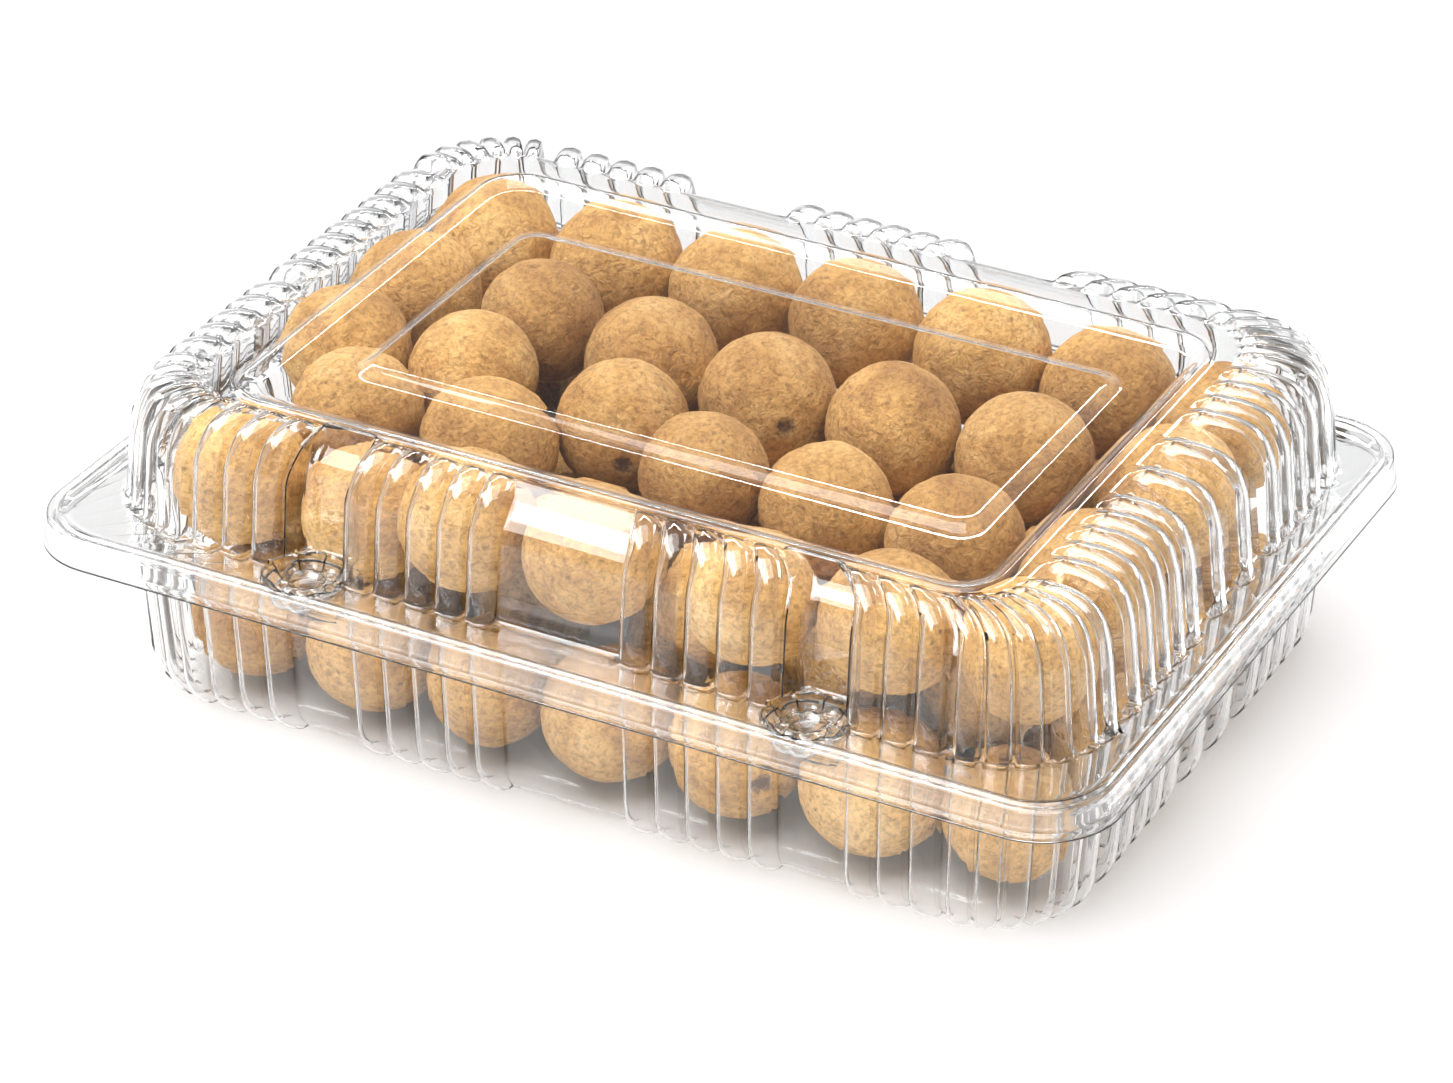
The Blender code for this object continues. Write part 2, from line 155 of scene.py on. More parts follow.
def around():
    """Keys once around the box, with each point's place across its flute and its share of an alcove."""
    keys, across, alcove = [], [], []
    inset = ALCOVE_SLOPE[-1][0]
    sides = (
        (FRONT_FLUTES, 0, False), (RIGHT_FLUTES, 1, False), (BACK_FLUTES, 0, True), (LEFT_FLUTES, 1, True),
    )
    for side, (flutes, axis, turned) in enumerate(sides):
        half = STRAIGHT[axis]
        points = []
        for place in flutes:
            for step in range(BEAD_STEPS + 1):
                s = bead_place(step)
                points.append((place + s * BEAD_HALF, s, 0.0))
        if side == 0:
            for start, end in ALCOVES:
                for place, share in ALCOVE_SLOPE:
                    points.append((start + place, 1.0, share))
                    points.append((end - place, 1.0, share))
                for step in range(1, ALCOVE_STEPS):
                    place = start + inset + (end - start - 2 * inset) * step / ALCOVE_STEPS
                    points.append((place, 1.0, 1.0))
        points.sort()
        filled = []
        for before, after in zip(points, points[1:]):
            filled.append(before)
            gap = after[0] - before[0]
            parts = int(gap // LONGEST_STEP) + 1
            for step in range(1, parts):
                filled.append((before[0] + gap * step / parts, 1.0, before[2] * after[2]))
        filled.append(points[-1])
        if turned:
            filled = [(-x, s, share) for x, s, share in reversed(filled)]
        for x, s, share in filled:
            keys.append(2 * side + (x / half + 1) / 2)
            across.append(s)
            alcove.append(share)
        for flute in range(CORNER_FLUTES):
            for step in range(BEAD_STEPS + 1):
                s = bead_place(step)
                place = (flute + 0.5 + s * BEAD_HALF / PITCH) / CORNER_FLUTES
                keys.append(2 * side + 1 + place)
                across.append(s)
                alcove.append(0.0)
    return np.array(keys), np.array(across), np.array(alcove)


def ring_places(keys, long, wide, radius):
    """Points and outward normals of a rounded rectangle at the keys, for one or many rings."""
    side = (keys // 2).astype(int) % 4
    along = np.array(((1, 0), (0, 1), (-1, 0), (0, -1)))[side]
    normal = np.stack([along[:, 1], -along[:, 0]], 1)
    straight = np.where(side % 2 == 0, long - radius, wide - radius)
    reach = np.where(side % 2 == 0, wide, long)
    share = keys - 2 * (keys // 2)
    flat = share <= 1
    walk = np.where(flat, (2 * share - 1) * straight, straight)
    angle = np.where(flat, 0.0, (share - 1) * math.pi / 2)
    out = normal * np.cos(angle)[:, None] + along * np.sin(angle)[:, None]
    base = along * walk[:, None] + normal * np.where(flat, reach, reach - radius)[:, None]
    return base + out * np.where(flat, 0.0, radius)[:, None], out


def rounded(stations):
    """Rows of a profile, its corners rounded. A station ends with its rounding and number of steps."""
    rows = []
    last = len(stations) - 1
    for index, (values, rounding, count) in enumerate(stations):
        here = np.array(values, float)
        if index in (0, last) or rounding == 0:
            rows.append(here)
            continue
        before = np.array(stations[index - 1][0], float) - here
        after = np.array(stations[index + 1][0], float) - here
        start = here + before * min(0.49, rounding / max(math.hypot(before[1], before[5]), 1e-6))
        end = here + after * min(0.49, rounding / max(math.hypot(after[1], after[5]), 1e-6))
        for step in range(count + 1):
            t = step / count
            rows.append(start * (1 - t) ** 2 + here * 2 * t * (1 - t) + end * t * t)
    return rows


def spread(rows, most, low, high):
    """More rows on the stretches of a wall that pass between two heights."""
    made = [rows[0]]
    for before, after in zip(rows, rows[1:]):
        gap = abs(after[5] - before[5])
        inside = min(before[5], after[5]) >= low and max(before[5], after[5]) <= high
        count = max(1, math.ceil(gap / most)) if inside else 1
        made += [before + (after - before) * step / count for step in range(1, count + 1)]
    return made


def skin(rows, circle, niche=None, lens=1.0):
    """Grid of places: one ring for each row. A row holds a rounded rectangle's half length, half width and
    corner, its shift in x and y, its height, how far a flute stands out and up from it, how far along the
    flute's round end it lies, and how deep the alcove is."""
    keys, across, alcove = circle
    grid = []
    for long, wide, corner, move_x, move_y, height, out, up, nose, deep in rows:
        places, normals = ring_places(keys, long, wide, corner)
        bump = np.clip(1 - np.abs(across) ** BLUNT - nose**BLUNT, 0, None) ** (1 / BLUNT) * lens
        share = alcove * (niche(places[:, 0], height) if niche else 1.0)
        reach = out * bump - deep * share
        ring = np.empty((len(keys), 3))
        ring[:, :2] = places + normals * reach[:, None] + (move_x, move_y)
        ring[:, 2] = height + up * bump
        grid.append(ring)
    return np.array(grid)


def grid_normals(grid):
    along = np.gradient(grid, axis=0)
    turn = np.roll(grid, -1, axis=1) - np.roll(grid, 1, axis=1)
    normal = np.cross(turn, along)
    return normal / np.maximum(np.linalg.norm(normal, axis=2, keepdims=True), 1e-9)


def shell(name, outer, inner, material):
    """A closed sheet from its outer and inner grids, joined at the first row and capped at the last."""
    rows, count = outer.shape[:2]
    stack = np.concatenate([outer[::-1], inner])
    deselect()
    bpy.ops.mesh.primitive_grid_add(x_subdivisions=count, y_subdivisions=2 * rows - 1, size=1)
    made = bpy.context.object
    made.name = made.data.name = name
    co = np.empty(len(made.data.vertices) * 3)
    made.data.vertices.foreach_get("co", co)
    co = co.reshape(-1, 3)
    column = np.rint((co[:, 0] + 0.5) * count).astype(int) % count
    row = np.rint((co[:, 1] + 0.5) * (2 * rows - 1)).astype(int)
    placed = stack[row, column] * MM
    placed[:, 1] += DEPTH_SHIFT * MM
    made.data.vertices.foreach_set("co", placed.ravel())
    bpy.ops.object.mode_set(mode="EDIT")
    bpy.ops.mesh.select_all(action="SELECT")
    bpy.ops.mesh.remove_doubles(threshold=1e-7)
    bpy.ops.mesh.select_all(action="DESELECT")
    bpy.ops.mesh.select_mode(type="EDGE")
    bpy.ops.mesh.select_non_manifold(extend=False, use_boundary=True)
    bpy.ops.mesh.edge_face_add()
    bpy.ops.mesh.select_all(action="SELECT")
    bpy.ops.mesh.normals_make_consistent(inside=False)
    bpy.ops.object.mode_set(mode="OBJECT")
    bpy.ops.object.shade_smooth_by_angle(angle=math.radians(50))
    made.data.materials.clear()
    made.data.materials.append(material)
    return made


# Materials
def node_material(name):
    material = bpy.data.materials.new(name)
    material.use_nodes = True
    nodes = material.node_tree.nodes
    return material, nodes, material.node_tree.links, nodes["Principled BSDF"]


def clear_plastic(look):
    """Clear PET sheet that bends what is seen through it and lets light through to the fruit."""
    material, nodes, links, shader = node_material("clear_pet_sheet")
    shader.inputs["Base Color"].default_value = (*look.sheet_colour, 1)
    shader.inputs["Roughness"].default_value = look.sheet_roughness
    shader.inputs["IOR"].default_value = look.sheet_ior
    shader.inputs["Transmission Weight"].default_value = 1.0
    coordinates = nodes.new("ShaderNodeTexCoord")
    ripple = nodes.new("ShaderNodeTexNoise")
    ripple.inputs["Scale"].default_value = 90.0
    ripple.inputs["Detail"].default_value = 1.0
    bump = nodes.new("ShaderNodeBump")
    bump.inputs["Strength"].default_value = 0.05
    bump.inputs["Distance"].default_value = 0.0003
    links.new(coordinates.outputs["Object"], ripple.inputs["Vector"])
    links.new(ripple.outputs["Fac"], bump.inputs["Height"])
    links.new(bump.outputs["Normal"], shader.inputs["Normal"])
    path = nodes.new("ShaderNodeLightPath")
    either = nodes.new("ShaderNodeMath")
    either.operation = "MAXIMUM"
    links.new(path.outputs["Is Shadow Ray"], either.inputs[0])
    links.new(path.outputs["Is Diffuse Ray"], either.inputs[1])
    through = nodes.new("ShaderNodeBsdfTransparent")
    through.inputs["Color"].default_value = (0.985, 0.985, 0.985, 1)
    mix = nodes.new("ShaderNodeMixShader")
    links.new(either.outputs["Value"], mix.inputs["Fac"])
    links.new(shader.outputs["BSDF"], mix.inputs[1])
    links.new(through.outputs["BSDF"], mix.inputs[2])
    links.new(mix.outputs["Shader"], nodes["Material Output"].inputs["Surface"])
    return material


def ramp(nodes, stops):
    """A colour ramp. A stop's colour is three values, or a single one for a grey."""
    made = nodes.new("ShaderNodeValToRGB")
    elements = made.color_ramp.elements
    while len(elements) < len(stops):
        elements.new(0.5)
    for element, (place, colour) in zip(elements, stops):
        element.position = place
        element.color = (colour, colour, colour, 1) if isinstance(colour, float) else (*colour, 1)
    return made


def noise(nodes, links, vector, scale, detail=3.0, roughness=0.5, distortion=0.0):
    made = nodes.new("ShaderNodeTexNoise")
    made.inputs["Scale"].default_value = scale
    made.inputs["Detail"].default_value = detail
    made.inputs["Roughness"].default_value = roughness
    made.inputs["Distortion"].default_value = distortion
    links.new(vector, made.inputs["Vector"])
    return made.outputs["Fac"]


def blend_colour(nodes, links, kind, share, first, second):
    made = nodes.new("ShaderNodeMix")
    made.data_type = "RGBA"
    made.blend_type = kind
    if isinstance(share, float):
        made.inputs[0].default_value = share
    else:
        links.new(share, made.inputs[0])
    links.new(first, made.inputs[6])
    if isinstance(second, bpy.types.NodeSocket):
        links.new(second, made.inputs[7])
    else:
        made.inputs[7].default_value = (*second, 1)
    return made.outputs[2]


def longan_skin(look):
    """Dry tan peel: cloudy golden brown with fine dark pores and a leathery grain."""
    material, nodes, links, shader = node_material("longan_peel")
    place = nodes.new("ShaderNodeTexCoord").outputs["Object"]
    cloudy = noise(nodes, links, place, 75.0, 5.0, 0.6, 0.6)
    tone = ramp(nodes, ((0.32, look.peel_dark), (0.5, look.peel_middle), (0.68, look.peel_light)))
    links.new(cloudy, tone.inputs["Fac"])
    drift = ramp(nodes, ((0.36, (0.84, 0.77, 0.69)), (0.64, (1.14, 1.12, 1.07))))
    links.new(noise(nodes, links, place, 22.0, 1.0), drift.inputs["Fac"])
    colour = blend_colour(nodes, links, "MULTIPLY", 1.0, tone.outputs["Color"], drift.outputs["Color"])
    pores = nodes.new("ShaderNodeTexVoronoi")
    pores.inputs["Scale"].default_value = 430.0
    pores.inputs["Randomness"].default_value = 1.0
    links.new(place, pores.inputs["Vector"])
    pore_mask = ramp(nodes, ((0.12, 1.0), (0.27, 0.0)))
    links.new(pores.outputs["Distance"], pore_mask.inputs["Fac"])
    patchy = ramp(nodes, ((0.45, 0.1), (0.65, 0.9)))
    links.new(noise(nodes, links, place, 110.0, 2.0), patchy.inputs["Fac"])
    pores_here = nodes.new("ShaderNodeMath")
    pores_here.operation = "MULTIPLY"
    links.new(pore_mask.outputs["Color"], pores_here.inputs[0])
    links.new(patchy.outputs["Color"], pores_here.inputs[1])
    colour = blend_colour(nodes, links, "MIX", pores_here.outputs["Value"], colour, look.pore_colour)
    grain = noise(nodes, links, place, 850.0, 5.0, 0.7, 0.6)
    grain_tone = ramp(nodes, ((0.32, (0.58, 0.50, 0.42)), (0.56, (1.10, 1.08, 1.06))))
    links.new(grain, grain_tone.inputs["Fac"])
    colour = blend_colour(nodes, links, "MULTIPLY", 1.0, colour, grain_tone.outputs["Color"])
    scar = nodes.new("ShaderNodeAttribute")
    scar.attribute_name = "stem_scar"
    scar_tone = noise(nodes, links, place, 700.0, 4.0, 0.7, 1.0)
    scar_edge = nodes.new("ShaderNodeMath")
    scar_edge.operation = "MULTIPLY"
    links.new(scar.outputs["Fac"], scar_edge.inputs[0])
    links.new(scar_tone, scar_edge.inputs[1])
    scar_mask = ramp(nodes, ((0.22, 0.0), (0.42, 1.0)))
    links.new(scar_edge.outputs["Value"], scar_mask.inputs["Fac"])
    colour = blend_colour(nodes, links, "MIX", scar_mask.outputs["Color"], colour, look.scar_colour)
    links.new(colour, shader.inputs["Base Color"])
    shader.inputs["Roughness"].default_value = look.peel_roughness
    shader.inputs["Specular IOR Level"].default_value = 0.3
    leather = nodes.new("ShaderNodeMath")
    leather.operation = "MULTIPLY_ADD"
    links.new(grain, leather.inputs[0])
    leather.inputs[1].default_value = 0.6
    links.new(noise(nodes, links, place, 380.0, 4.0, 0.6, 1.2), leather.inputs[2])
    bump = nodes.new("ShaderNodeBump")
    bump.inputs["Strength"].default_value = 1.0
    bump.inputs["Distance"].default_value = 0.0008
    links.new(leather.outputs["Value"], bump.inputs["Height"])
    links.new(bump.outputs["Normal"], shader.inputs["Normal"])
    return material


# Lid and tray
def lid_rows():
    w = WALL_SHIFT
    top = RIM_HIGH
    stations = (
        ((110.4, 78.1, 15.4, 0, 0, top - 4.9, 0, 0, 0, 0), 0, 0),
        ((109.95, 77.65, 15, 0, 0, top - 4.2, 0, 0, 0, 0), 0.4, 2),
        ((109.8, 77.5, 14.8, 0, 0, top, 0, 0, 0, 0), 0.9, 3),
        ((108.5, 76.2, 14.2, 0, 0, top, 0, 0, 0, 0), 0.25, 1),
        ((108.1, 75.8, 14.0, 0, 0, top - 0.45, 0, 0, 0, 0), 0.2, 2),
        ((107.7, 75.4, 13.7, 0, 0, top, 0, 0, 0, 0), 0.25, 1),
        ((107.0, 74.7, 13.2, 0, 0.1, top, 0, 0, 0, 0), 0.4, 2),
        ((106.3, 74.0, 13.5, 0, 0.3, top - 0.8, 0, 0, 0, 0), 0.4, 1),
        ((103.3, 71.2, 22.8, 0, w, top - 0.8, 0, 0, 0, 0), 0, 0),
        ((100.1, 68.0, 20.7, 0, w, top - 0.8, 2.6, 0, 0, 6.3), 0.8, 2),
        ((99.7, 67.7, 20.4, 0, w, top + 1.2, 2.6, 0, 0, 6.3), 0, 0),
        ((98.1, 66.3, 19.0, 0, w, top + 15.8, 2.7, 0.2, 0, 5.3), 2.2, 4),
        ((94.6, 62.8, 16.6, 0, w, top + 20.1, 3.9, 2.6, 0, 5.6), 2.6, 5),
        ((91.0, 60.4, 15.0, -0.5, 2.9, top + 22.1, 2.7, 2.6, 0.15, 3.8), 2.0, 4),
        ((87.6, 58.7, 13.5, -1.3, 2.8, top + 23.2, 1.4, 1.85, 0.6, 2.6), 0.8, 3),
        ((86.0, 57.9, 12.8, -1.7, 2.75, top + 23.5, 0.9, 2.1, 0.9, 1.9), 0.4, 2),
        ((85.0, 57.2, 12.2, -2.0, 2.7, top + 23.7, 0.6, 1.5, 1.0, 1.2), 0.3, 2),
        ((83.7, 56.3, 11.65, -1.5, 2.0, top + 23.7, 0, 0, 1, 0.9), 0, 0),
        ((81.1, 54.5, 10.55, -0.5, 0.7, top + 23.7, 0, 0, 1, 0.3), 0, 0),
        ((79.8, 53.6, 10.0, 0, 0, top + 23.7, 0, 0, 1, 0), 0.4, 1),
        ((78.8, 52.6, 9.0, 0, 0, top + 24.15, 0, 0, 1, 0), 0.5, 3),
        ((77.6, 51.2, 8.3, 0, 0, top + 23.9, 0, 0, 1, 0), 0.5, 1),
        ((76.0, 49.0, 7.0, 0, 0, top + 22.7, 0, 0, 1, 0), 0.8, 2),
        ((74.4, 46.7, 6.8, 0.4, 0, top + 22.67, 0, 0, 1, 0), 0, 0),
        ((66.9, 36.2, 5.6, 2.1, 0, top + 22.53, 0, 0, 1, 0), 0, 0),
        ((65.3, 33.9, 5.4, 2.5, 0, top + 22.5, 0, 0, 1, 0), 0.8, 2),
        ((63.2, 30.8, 4.0, 2.5, 0, top + 23.7, 0, 0, 1, 0), 0.8, 3),
        ((61.6, 29.4, 3.9, 2.5, 0, top + 23.7, 0, 0, 1, 0), 0, 0),
        ((40.0, 15.0, 3.0, 2.5, 0, top + 23.7, 0, 0, 1, 0), 0, 0),
    )
    return rounded(stations)


def tray_rows():
    w = WALL_SHIFT
    stations = (
        ((110.8, 78.5, 15.8, 0, 0, 33.9, 0, 0, 0, 0), 0, 0),
        ((110.0, 77.7, 15.0, 0, 0, 33.8, 0, 0, 0, 0), 0.4, 2),
        ((108.3, 76.0, 13.3, 0, 0, 34.2, 0, 0, 0, 0), 0.6, 3),
        ((108.1, 75.8, 13.1, 0, 0, 38.2, 0, 0, 0, 0), 0.7, 4),
        ((102.6, 71.0, 22.6, 0, w, 38.1, 0, 0, 0, 0), 0, 0),
        ((99.2, 67.9, 20.4, 0, w, 37.8, 2.5, 0, 0, 6.4), 1.0, 3),
        ((98.9, 67.5, 20.0, 0, w, 35.4, 2.5, 0, 0, 6.4), 0, 0),
        ((98.2, 67.1, 19.7, 0, w, 26.0, 2.5, 0, 0, 6.0), 0, 0),
        ((96.9, 66.3, 18.9, 0, w, 7.0, 2.5, 0, 0, 0), 0, 0),
        ((96.2, 65.6, 18.3, 0, w, 3.4, 2.3, 0, 0, 0), 1.5, 4),
        ((94.2, 63.7, 16.8, 0, w, 0.9, 1.8, -0.7, 0.45, 0), 1.2, 4),
        ((92.0, 61.5, 15.0, 0, w, 0.2, 0.6, -0.3, 1, 0), 0.7, 3),
        ((88.0, 57.6, 12.0, 0, w, 0.0, 0, 0, 1, 0), 0.5, 2),
        ((87.0, 56.6, 11.0, 0, w, 0.9, 0, 0, 1, 0), 0.5, 2),
        ((85.5, 55.1, 10.8, 0, w, 0.9, 0, 0, 1, 0), 0, 0),
        ((40.0, 20.0, 4.0, 0, 0, 0.9, 0, 0, 1, 0), 0, 0),
    )
    return rounded(stations)


def tray_niche(x, height):
    """How much of the alcove there is at a height of the tray's wall: it ends in a half-round shelf."""
    across = np.clip(1 - ((np.abs(x) - BUTTON_X) / NICHE_HALF) ** 2, 0, 1)
    low = NICHE_LOW - NICHE_SHELF * np.sqrt(across)
    share = np.clip((height - low) / NICHE_EDGE, 0, 1)
    return share * share * (3 - 2 * share)


def sheet_piece(name, rows, thickness, lens, material, niche=None, inward=1):
    """A fluted sheet. Rows run up the lid and down the tray, so inward, 1 or -1, turns their normals."""
    circle = around()
    dense = spread(rows, NICHE_ROW, *NICHE_SPAN) if niche else rows
    outer = skin(dense, circle, niche)
    smoother = skin(dense, circle, niche, lens)
    inner = smoother - grid_normals(smoother) * thickness * inward
    return shell(name, outer, inner, material)


# Snap buttons and hinge
def punch(sheet, top, radius):
    """Round holes in the front flange for the snap buttons."""
    for x in (-BUTTON_X, BUTTON_X):
        deselect()
        bpy.ops.mesh.primitive_cylinder_add(
            vertices=HOLE_SIDES, radius=radius * MM, depth=HOLE_DEPTH * MM,
            location=(x * MM, (BUTTON_Y + DEPTH_SHIFT) * MM, (top - HOLE_DROP) * MM),
        )
        cutter = bpy.context.object
        settle_transform(cutter)
        only(sheet)
        hole = sheet.modifiers.new("Hole", "BOOLEAN")
        hole.operation = "DIFFERENCE"
        hole.solver = "MANIFOLD"
        hole.object = cutter
        bpy.ops.object.modifier_apply(modifier=hole.name)
        bpy.data.objects.remove(cutter)


def spread_cup(profile):
    """The wells' profile with a few more rows on each slope."""
    rows = [np.array(profile[0], float)]
    for before, after in zip(profile, profile[1:]):
        before, after = np.array(before, float), np.array(after, float)
        rows += [before + (after - before) * step / WELL_STEPS for step in range(1, WELL_STEPS + 1)]
    return rows


def button_cups(prefix, top, profile, material):
    """Petalled wells: each row of the profile has a radius, a depth and how deep its petals are."""
    made = []
    turn = np.linspace(0, 2 * math.pi, WELL_SIDES, endpoint=False)
    petals = np.abs(np.sin(PETALS / 2 * turn)) ** PETAL_POWER
    for side, x in (("left", -BUTTON_X), ("right", BUTTON_X)):
        grid = []
        for radius, depth, petal in spread_cup(profile):
            reach = radius + petal * (petals - 0.5)
            height = np.full(WELL_SIDES, top - depth)
            grid.append(np.stack([x + reach * np.cos(turn), BUTTON_Y + reach * np.sin(turn), height], 1))
        upper = np.array(grid)
        lower = upper - grid_normals(upper) * WELL_SHEET
        made.append(shell(f"{prefix}_{side}", upper, lower, material))
    return made


def hinge_strip(name, height, material):
    """Half of the living hinge: a thin strip behind the back flange, with rounded edges."""
    deselect()
    bpy.ops.mesh.primitive_cube_add(
        size=1,
        location=(0, (FLANGE_BACK + DEPTH_SHIFT + STRIP_WIDE / 2) * MM, height * MM),
        scale=(STRIP_LONG * MM, STRIP_WIDE * MM, STRIP_THICK * MM),
    )
    made = bpy.context.object
    made.name = made.data.name = name
    settle_transform(made)
    bevel = made.modifiers.new("Rounded", "BEVEL")
    bevel.width = STRIP_ROUNDING * MM
    bevel.segments = 3
    bpy.ops.object.modifier_apply(modifier=bevel.name)
    bpy.ops.object.mode_set(mode="EDIT")
    bpy.ops.mesh.select_all(action="SELECT")
    bpy.ops.mesh.normals_make_consistent(inside=False)
    bpy.ops.object.mode_set(mode="OBJECT")
    bpy.ops.object.shade_smooth_by_angle(angle=math.radians(40))
    made.data.materials.append(material)
    return made


# Properties
class BoxSizes(bpy.types.PropertyGroup):
    sheet: bpy.props.FloatProperty(
        name="Sheet", description="Thickness of the plastic sheet",
        default=0.0004, unit="LENGTH", min=0.0002,
    )
    lens: bpy.props.FloatProperty(
        name="Inner flutes", description="Share of the flutes' depth on the inner side",
        default=0.95, min=0.3, max=1,
    )


class Finishes(bpy.types.PropertyGroup):
    sheet_colour: bpy.props.FloatVectorProperty(
        name="Sheet colour", description="Tint of the plastic",
        subtype="COLOR", size=3, default=(0.985, 0.988, 0.99),
    )
    sheet_roughness: bpy.props.FloatProperty(
        name="Sheet roughness", description="How matt the plastic is",
        default=0.0, min=0, max=1, subtype="FACTOR",
    )
    sheet_ior: bpy.props.FloatProperty(
        name="Sheet IOR", description="How much the plastic bends light", default=1.575, min=1, max=2
    )
    peel_dark: bpy.props.FloatVectorProperty(
        name="Peel, dark", description="Dark clouds of the peel",
        subtype="COLOR", size=3, default=(0.45, 0.235, 0.068),
    )
    peel_middle: bpy.props.FloatVectorProperty(
        name="Peel", description="Main colour of the peel",
        subtype="COLOR", size=3, default=(0.68, 0.405, 0.135),
    )
    peel_light: bpy.props.FloatVectorProperty(
        name="Peel, light", description="Light clouds of the peel",
        subtype="COLOR", size=3, default=(0.82, 0.545, 0.232),
    )
    pore_colour: bpy.props.FloatVectorProperty(
        name="Pores", description="Colour of the pores",
        subtype="COLOR", size=3, default=(0.33, 0.18, 0.065),
    )
    scar_colour: bpy.props.FloatVectorProperty(
        name="Stem scars", description="Colour of stem scars",
        subtype="COLOR", size=3, default=(0.14, 0.07, 0.03),
    )
    peel_roughness: bpy.props.FloatProperty(
        name="Peel roughness", description="How matt the peel is",
        default=0.72, min=0, max=1, subtype="FACTOR",
    )


class StudioLook(bpy.types.PropertyGroup):
    floor_colour: bpy.props.FloatVectorProperty(
        name="Floor", description="Colour of the floor",
        subtype="COLOR", size=3, default=(0.70, 0.70, 0.705),
    )
    sky: bpy.props.FloatProperty(
        name="Sky", description="Strength of the light all around", default=0.6, min=0
    )
    lens: bpy.props.FloatProperty(name="Lens", description="Focal length in mm", default=130.58, min=10)


def made_material(name, maker):
    return bpy.data.materials.get(name) or maker(bpy.context.scene.longan_finishes)


class MESH_OT_clear_tray(bpy.types.Operator):
    """Build the fluted tray"""

    bl_idname = "mesh.clear_tray"
    bl_label = "Clear tray"

    def execute(self, context):
        sizes = context.scene.longan_box
        plastic = made_material("clear_pet_sheet", clear_plastic)
        tray = sheet_piece("clear_tray", tray_rows(), sizes.sheet / MM, sizes.lens, plastic, tray_niche, -1)
        punch(tray, TRAY_TOP, TRAY_CUP[0][0] - WELL_LAP)
        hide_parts("tray")
        pieces = [tray, hinge_strip("tray_hinge_strip", TRAY_STRIP, plastic)]
        pieces += button_cups("tray_button", TRAY_TOP, TRAY_CUP, plastic)
        for piece in pieces:
            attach(piece, "filled_tray")
        return {"FINISHED"}


class MESH_OT_clear_lid(bpy.types.Operator):
    """Build the fluted lid"""

    bl_idname = "mesh.clear_lid"
    bl_label = "Clear lid"

    def execute(self, context):
        sizes = context.scene.longan_box
        plastic = made_material("clear_pet_sheet", clear_plastic)
        lid = sheet_piece("clear_lid", lid_rows(), sizes.sheet / MM, sizes.lens, plastic)
        punch(lid, LID_TOP, LID_CUP[0][0] - WELL_LAP)
        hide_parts("lid")
        pieces = [lid, hinge_strip("lid_hinge_strip", LID_STRIP, plastic)]
        pieces += button_cups("lid_button", LID_TOP, LID_CUP, plastic)
        for piece in pieces:
            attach(piece, "lid")
        return {"FINISHED"}


def cloud_texture(name, size, depth):
    made = bpy.data.textures.new(name, "CLOUDS")
    made.noise_scale = size
    made.noise_depth = depth
    return made


def press(made, texture, strength):
    """Pushes the surface in and out by a texture, for good."""
    modifier = made.modifiers.new("Uneven", "DISPLACE")
    modifier.texture = texture
    modifier.texture_coords = "GLOBAL"
    modifier.strength = strength
    modifier.mid_level = 0.5
    bpy.ops.object.modifier_apply(modifier=modifier.name)


def scar_into(made, centre, radius, facing):
    """A small sunken stem scar with a raised, ragged edge."""
    count = len(made.data.vertices)
    co = np.empty(count * 3)
    made.data.vertices.foreach_get("co", co)
    co = co.reshape(-1, 3)
    out = co - centre
    length = np.linalg.norm(out, axis=1, keepdims=True)
    out /= length
    away = np.arccos(np.clip(out @ facing, -1, 1)) * radius / MM
    pit = -SCAR_DEPTH * np.exp(-((away / SCAR_WIDE) ** 2))
    pit += SCAR_RIM * np.exp(-(((away - SCAR_RIM_AT) / SCAR_RIM_WIDE) ** 2))
    co += out * pit[:, None] * MM
    made.data.vertices.foreach_set("co", co.ravel())
    mark = made.data.attributes.new("stem_scar", "FLOAT", "POINT")
    mark.data.foreach_set("value", np.clip(1.25 - away / SCAR_STAIN, 0, 1).astype(np.float32))


def longan(name, centre, radius, finest, facing, material, textures):
    deselect()
    bpy.ops.mesh.primitive_ico_sphere_add(subdivisions=finest, radius=radius, location=centre)
    made = bpy.context.object
    made.name = made.data.name = name
    settle_transform(made)
    for texture, strength in textures:
        press(made, texture, strength)
    scar_into(made, centre, radius, facing)
    bpy.ops.object.shade_smooth()
    made.data.materials.append(material)
    return made


def ball_of(node):
    """Centre and radius of a CAD longan."""
    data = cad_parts[node].data
    co = np.empty(len(data.vertices) * 3)
    data.vertices.foreach_get("co", co)
    co = np.unique(np.round(co.reshape(-1, 3), 6), axis=0)
    centre = (co.min(0) + co.max(0)) / 2
    return centre, float(np.linalg.norm(co - centre, axis=1).max())


class MESH_OT_longans(bpy.types.Operator):
    """Build the longans, each where its solid lies"""

    bl_idname = "mesh.longans"
    bl_label = "Longans"

    def execute(self, context):
        peel = made_material("longan_peel", longan_skin)
        textures = (
            (cloud_texture("peel_lumps", 0.016, 1), 0.0010),
            (cloud_texture("peel_dents", 0.003, 3), 0.0005),
        )
        random = np.random.default_rng(SEED)
        finest = 5
        for node in sorted(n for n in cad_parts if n.startswith("longan_")):
            centre, radius = ball_of(node)
            facing = random.normal(size=3)
            if facing @ FRONT_SIDE > 0:
                facing = -facing
            facing = np.array(SHOWN_SCARS.get(node, facing))
            facing /= np.linalg.norm(facing)
            piece = longan(f"{node}_fruit", centre, radius * FRUIT_OVER, finest, facing, peel, textures)
            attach(piece, "filled_tray")
            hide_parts(node)
        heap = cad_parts["buried_longans"]
        heap.data.materials.clear()
        heap.data.materials.append(peel)
        return {"FINISHED"}


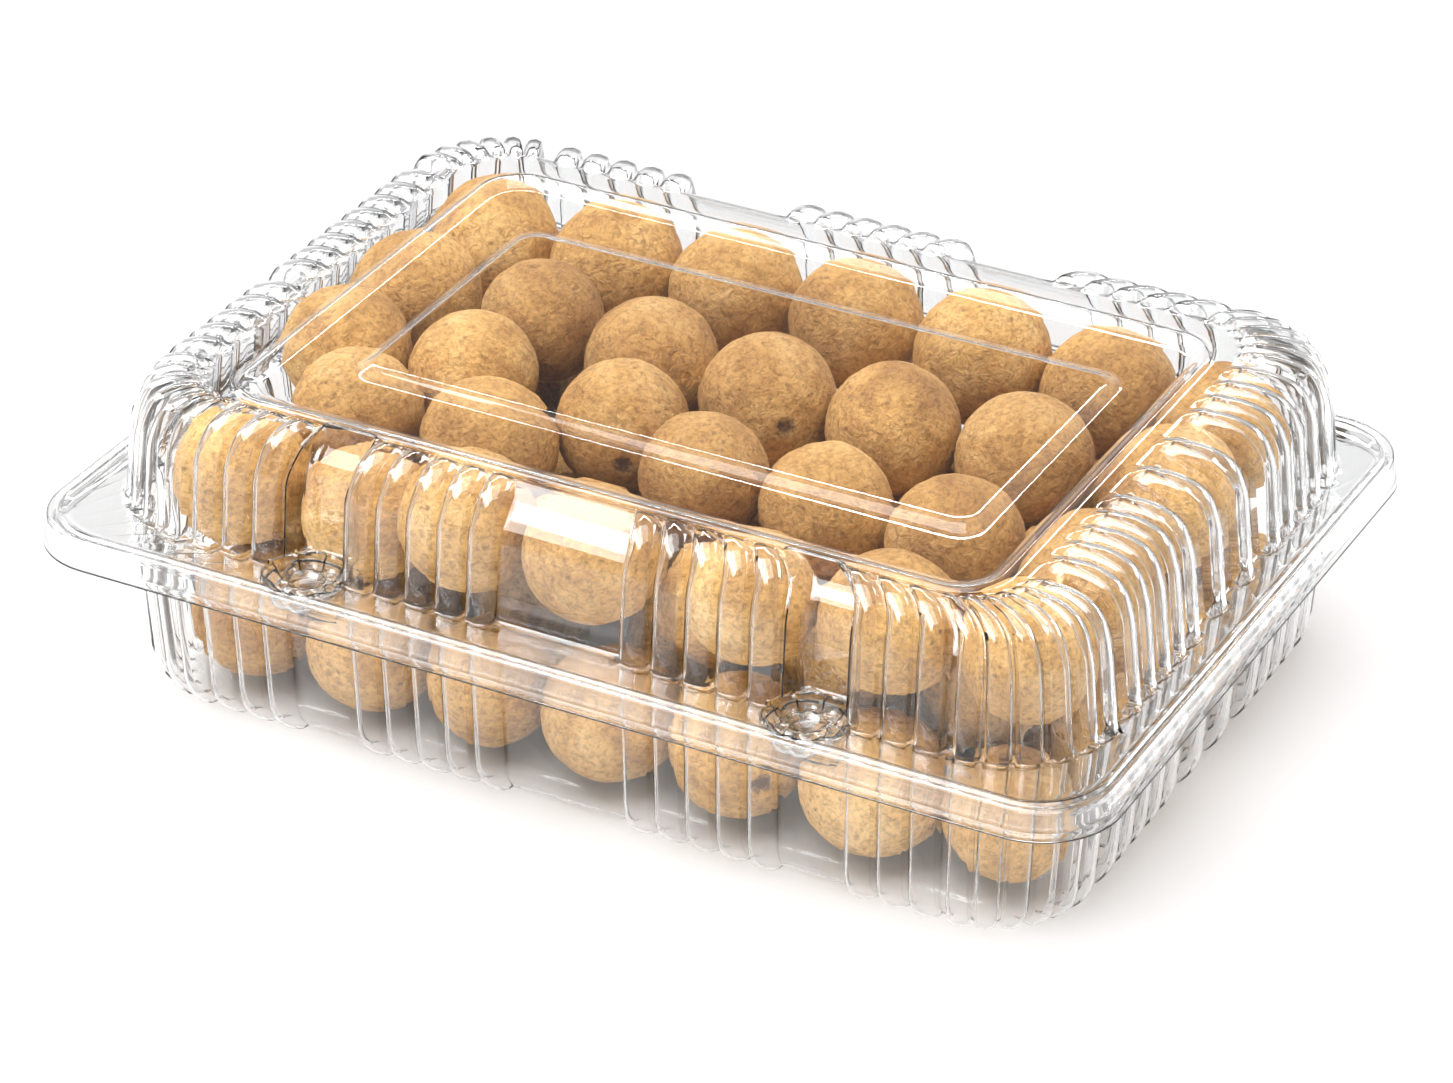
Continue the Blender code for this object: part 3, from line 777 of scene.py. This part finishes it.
class SCENE_OT_studio(bpy.types.Operator):
    """Set up the floor, the light and the camera"""

    bl_idname = "scene.longan_studio"
    bl_label = "Studio"

    def execute(self, context):
        look = context.scene.longan_studio
        deselect()
        bpy.ops.mesh.primitive_plane_add(size=8, location=(0, 0, -0.0001))
        floor = context.object
        floor.name = "floor"
        material, nodes, links, shader = node_material("floor_white")
        shader.inputs["Base Color"].default_value = (*look.floor_colour, 1)
        shader.inputs["Roughness"].default_value = 0.9
        shader.inputs["Specular IOR Level"].default_value = 0.1
        floor.data.materials.append(material)
        world = context.scene.world or bpy.data.worlds.new("studio")
        context.scene.world = world
        world.use_nodes = True
        nodes, links = world.node_tree.nodes, world.node_tree.links
        background = nodes["Background"]
        background.inputs["Strength"].default_value = look.sky
        height = nodes.new("ShaderNodeSeparateXYZ")
        coordinates = nodes.new("ShaderNodeTexCoord").outputs["Generated"]
        links.new(coordinates, height.inputs["Vector"])
        tone = ramp(nodes, SKY_TONES)
        links.new(height.outputs["Z"], tone.inputs["Fac"])
        toward = nodes.new("ShaderNodeVectorMath")
        toward.operation = "DOT_PRODUCT"
        toward.inputs[1].default_value = PATCH_WAY
        links.new(coordinates, toward.inputs[0])
        patch = ramp(nodes, PATCH_TONES)
        links.new(toward.outputs["Value"], patch.inputs["Fac"])
        shade = blend_colour(nodes, links, "MULTIPLY", 1.0, tone.outputs["Color"], patch.outputs["Color"])
        links.new(shade, background.inputs["Color"])
        for name, place, long, wide, power, shine in LAMPS:
            light = bpy.data.lights.new(name, "AREA")
            light.shape = "RECTANGLE"
            light.size, light.size_y = long, wide
            light.energy = power
            lamp = bpy.data.objects.new(name, light)
            context.scene.collection.objects.link(lamp)
            lamp.location = place
            aim = Vector(LAMP_AIM) - Vector(place)
            lamp.rotation_euler = aim.to_track_quat("-Z", "Y").to_euler()
            lamp.visible_diffuse = not shine
            lamp.visible_glossy = shine
            lamp.visible_transmission = not shine
        camera = bpy.data.cameras.new("camera")
        camera.sensor_width = 36
        camera.lens = look.lens
        camera.clip_start, camera.clip_end = 0.05, 20
        holder = bpy.data.objects.new("camera", camera)
        context.scene.collection.objects.link(holder)
        turn = Matrix(CAMERA_AXES).transposed()
        holder.matrix_world = Matrix.Translation(CAMERA_PLACE) @ turn.to_4x4()
        context.scene.camera = holder
        context.scene.view_settings.view_transform = "Standard"
        context.scene.cycles.transparent_max_bounces = 16
        context.scene.cycles.transmission_bounces = 10
        context.scene.cycles.diffuse_bounces = 2
        context.scene.cycles.glossy_bounces = 4
        context.scene.cycles.max_bounces = 11
        context.scene.cycles.caustics_reflective = False
        context.scene.cycles.caustics_refractive = False
        return {"FINISHED"}


class VIEW3D_PT_longan_box(bpy.types.Panel):
    bl_label = "Longan box"
    bl_idname = "VIEW3D_PT_longan_box"
    bl_space_type = "VIEW_3D"
    bl_region_type = "UI"
    bl_category = "Longan box"

    def draw(self, context):
        layout = self.layout
        for group in (context.scene.longan_box, context.scene.longan_finishes, context.scene.longan_studio):
            for name in group.__annotations__:
                layout.prop(group, name)
        for operator in STEPS:
            layout.operator(operator.bl_idname)


STEPS = (SCENE_OT_studio, MESH_OT_clear_tray, MESH_OT_clear_lid, MESH_OT_longans)
GROUPS = (("longan_box", BoxSizes), ("longan_finishes", Finishes), ("longan_studio", StudioLook))


def register():
    for name, group in GROUPS:
        bpy.utils.register_class(group)
        setattr(bpy.types.Scene, name, bpy.props.PointerProperty(type=group))
    for made in (*STEPS, VIEW3D_PT_longan_box):
        bpy.utils.register_class(made)


def unregister():
    for made in (VIEW3D_PT_longan_box, *reversed(STEPS)):
        bpy.utils.unregister_class(made)
    for name, group in reversed(GROUPS):
        delattr(bpy.types.Scene, name)
        bpy.utils.unregister_class(group)


def main():
    register()
    bpy.ops.scene.longan_studio()
    bpy.ops.mesh.clear_tray()
    bpy.ops.mesh.clear_lid()
    bpy.ops.mesh.longans()


if __name__ == "__main__":
    main()
